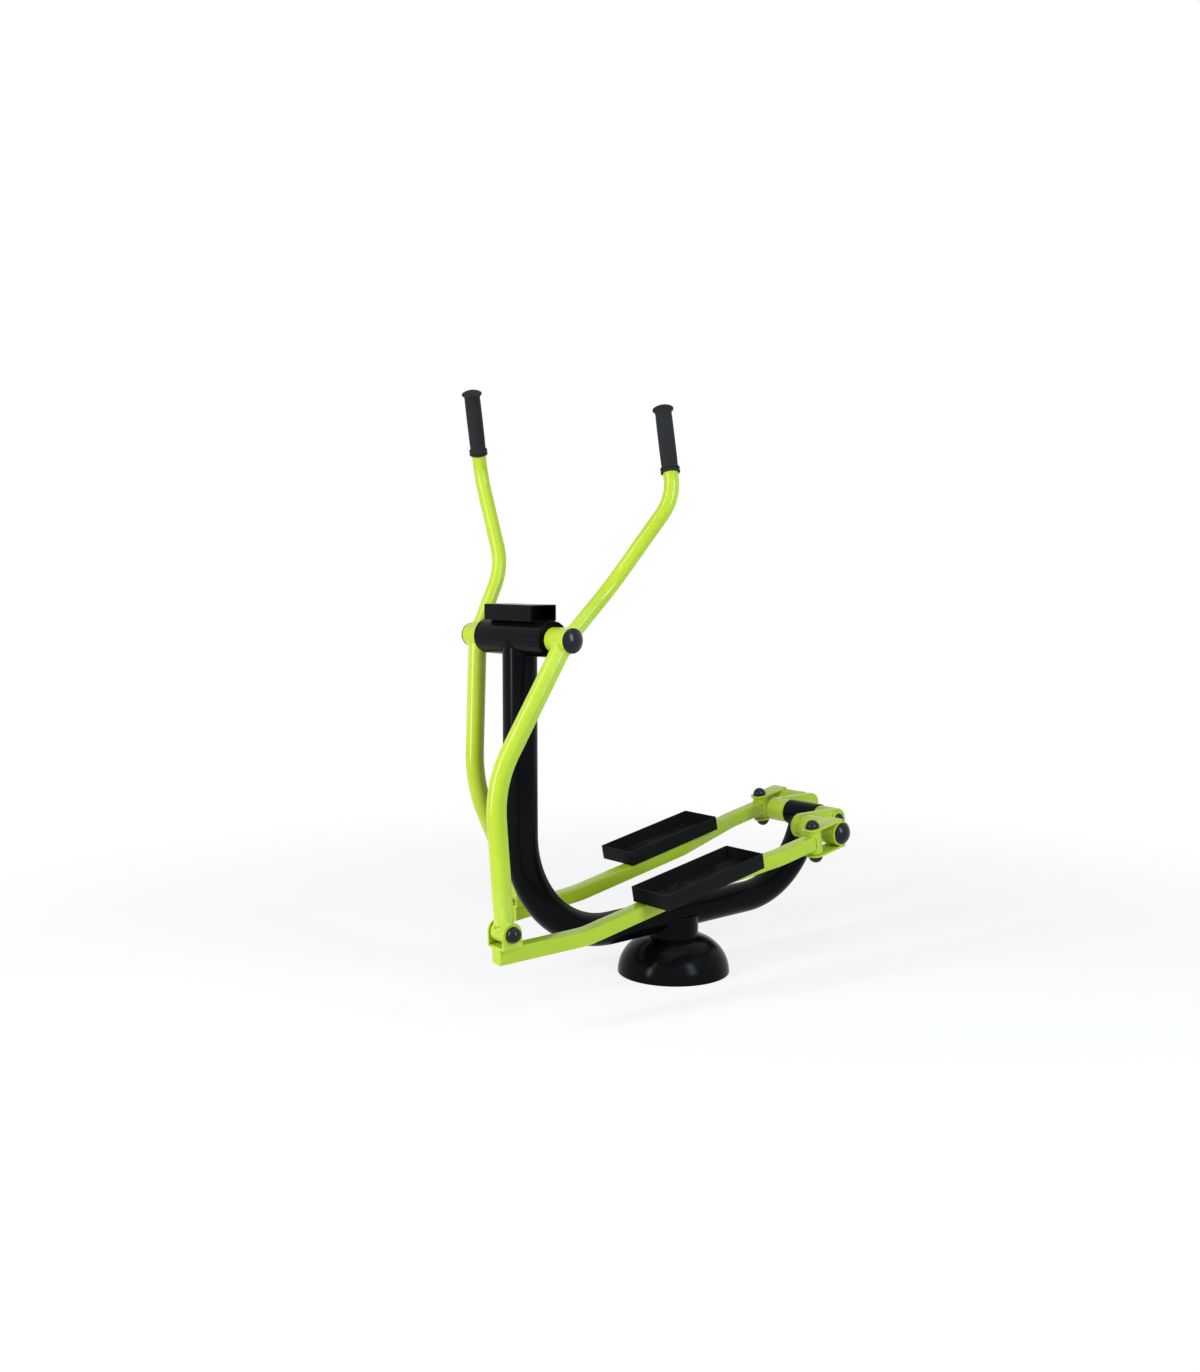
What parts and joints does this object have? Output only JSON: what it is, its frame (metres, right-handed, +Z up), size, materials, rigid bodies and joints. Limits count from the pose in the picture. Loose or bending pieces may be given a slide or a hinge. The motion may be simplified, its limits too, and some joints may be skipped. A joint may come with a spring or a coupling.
{
  "type": "outdoor cross trainer",
  "caption": "Outdoor cross trainer: two swinging handles hinged to pedal arms with foot trays that ride on an offset crank, on a curved tube frame over a domed bolt-down base.",
  "frame": {"origin": "on the ground, at the middle of the anchor bolt circle under the post", "axes": "+Z up, +X towards the front column with the handles, +Y towards the user's left side when standing on the trays and facing the column"},
  "size_m": [1.4685, 0.632, 1.6072],
  "materials": {
    "black_coat": "semi-gloss black powder coat",
    "lime_coat": "satin lime green powder coat",
    "tray_black": "matt black moulded plastic",
    "cap_black": "gloss black moulded plastic",
    "grip_rubber": "matt dark grey rubber",
    "bare_steel": "bare machined and zinc-plated steel",
    "bronze": "sintered bronze"
  },
  "bodies": {
    "frame": {"base_flange": "black_coat", "base_ribs": "black_coat", "base_dome": "black_coat", "ground_post": "black_coat", "main_beam": "black_coat", "top_housing": "black_coat", "housing_plates": "black_coat", "top_box": "black_coat", "top_shaft": "bare_steel", "top_shaft_nuts": "bare_steel", "rear_housing": "black_coat", "rear_bearings": "bare_steel"},
    "crank": {"crank_shaft": "bare_steel", "left_crank": "lime_coat", "right_crank": "lime_coat", "crank_caps": "cap_black"},
    "left_handle": {"left_handle_hub": "lime_coat", "left_hub_bearings": "bare_steel", "left_hub_cap": "cap_black", "left_handle_upper": "lime_coat", "left_handle_lower": "lime_coat", "left_grip": "grip_rubber", "left_lower_sleeve": "lime_coat", "left_lower_bushes": "bronze"},
    "left_arm": {"left_pedal_arm": "lime_coat", "left_front_bracket": "lime_coat", "left_front_bolt": "bare_steel", "left_front_caps": "cap_black", "left_foot_tray": "tray_black", "left_tray_bolts": "black_coat", "left_swivel_sleeve": "lime_coat"},
    "left_fork": {"left_fork_straps": "lime_coat", "left_swivel_bolt": "bare_steel", "left_swivel_caps": "cap_black", "left_pin_sleeve": "lime_coat", "left_pin_bearings": "bare_steel", "left_crank_pin": "bare_steel", "left_pin_cap": "cap_black"},
    "right_handle": {"right_handle_hub": "lime_coat", "right_hub_bearings": "bare_steel", "right_hub_cap": "cap_black", "right_handle_upper": "lime_coat", "right_handle_lower": "lime_coat", "right_grip": "grip_rubber", "right_lower_sleeve": "lime_coat", "right_lower_bushes": "bronze"},
    "right_arm": {"right_pedal_arm": "lime_coat", "right_front_bracket": "lime_coat", "right_front_bolt": "bare_steel", "right_front_caps": "cap_black", "right_foot_tray": "tray_black", "right_tray_bolts": "black_coat", "right_swivel_sleeve": "lime_coat"},
    "right_fork": {"right_fork_straps": "lime_coat", "right_swivel_bolt": "bare_steel", "right_swivel_caps": "cap_black", "right_pin_sleeve": "lime_coat", "right_pin_bearings": "bare_steel", "right_crank_pin": "bare_steel", "right_pin_cap": "cap_black"}
  },
  "joints": [
    {"name": "left_handle_swing", "type": "hinge", "parent": "frame", "child": "left_handle", "pos_m": [0.53, 0, 0.961], "axis": [0, 1, 0], "range_deg": [0, 24.3]},
    {"name": "right_handle_swing", "type": "hinge", "parent": "frame", "child": "right_handle", "pos_m": [0.53, 0, 0.961], "axis": [0, 1, 0], "range_deg": [-24.3, 0]},
    {"name": "left_arm_hinge", "type": "hinge", "parent": "left_handle", "child": "left_arm", "pos_m": [0.71099, 0.184, 0.26722], "axis": [0, 1, 0], "range_deg": [-23.7, 0]},
    {"name": "right_arm_hinge", "type": "hinge", "parent": "right_handle", "child": "right_arm", "pos_m": [0.40949, -0.184, 0.2542], "axis": [0, 1, 0], "range_deg": [0, 23.7]},
    {"name": "crank_turn", "type": "hinge", "parent": "frame", "child": "crank", "pos_m": [-0.54, 0, 0.387], "axis": [0, 1, 0], "range_deg": [0, 180]},
    {"name": "left_fork_swivel", "type": "hinge", "parent": "left_arm", "child": "left_fork", "pos_m": [-0.30449, 0.25, 0.37092], "axis": [0.1848, 0, 0.9828], "range_deg": [-3, 0]},
    {"name": "right_fork_swivel", "type": "hinge", "parent": "right_arm", "child": "right_fork", "pos_m": [-0.60469, -0.25, 0.36991], "axis": [0.1965, 0, 0.9805], "range_deg": [0, 3]}
  ],
  "couplings": [
    {"joint": "right_handle_swing", "follows": "left_handle_swing", "ratio": -1},
    {"joint": "left_arm_hinge", "follows": "left_handle_swing", "ratio": -0.9721},
    {"joint": "right_arm_hinge", "follows": "left_handle_swing", "ratio": 0.9721},
    {"joint": "crank_turn", "follows": "left_handle_swing", "ratio": 7.4084}
  ]
}
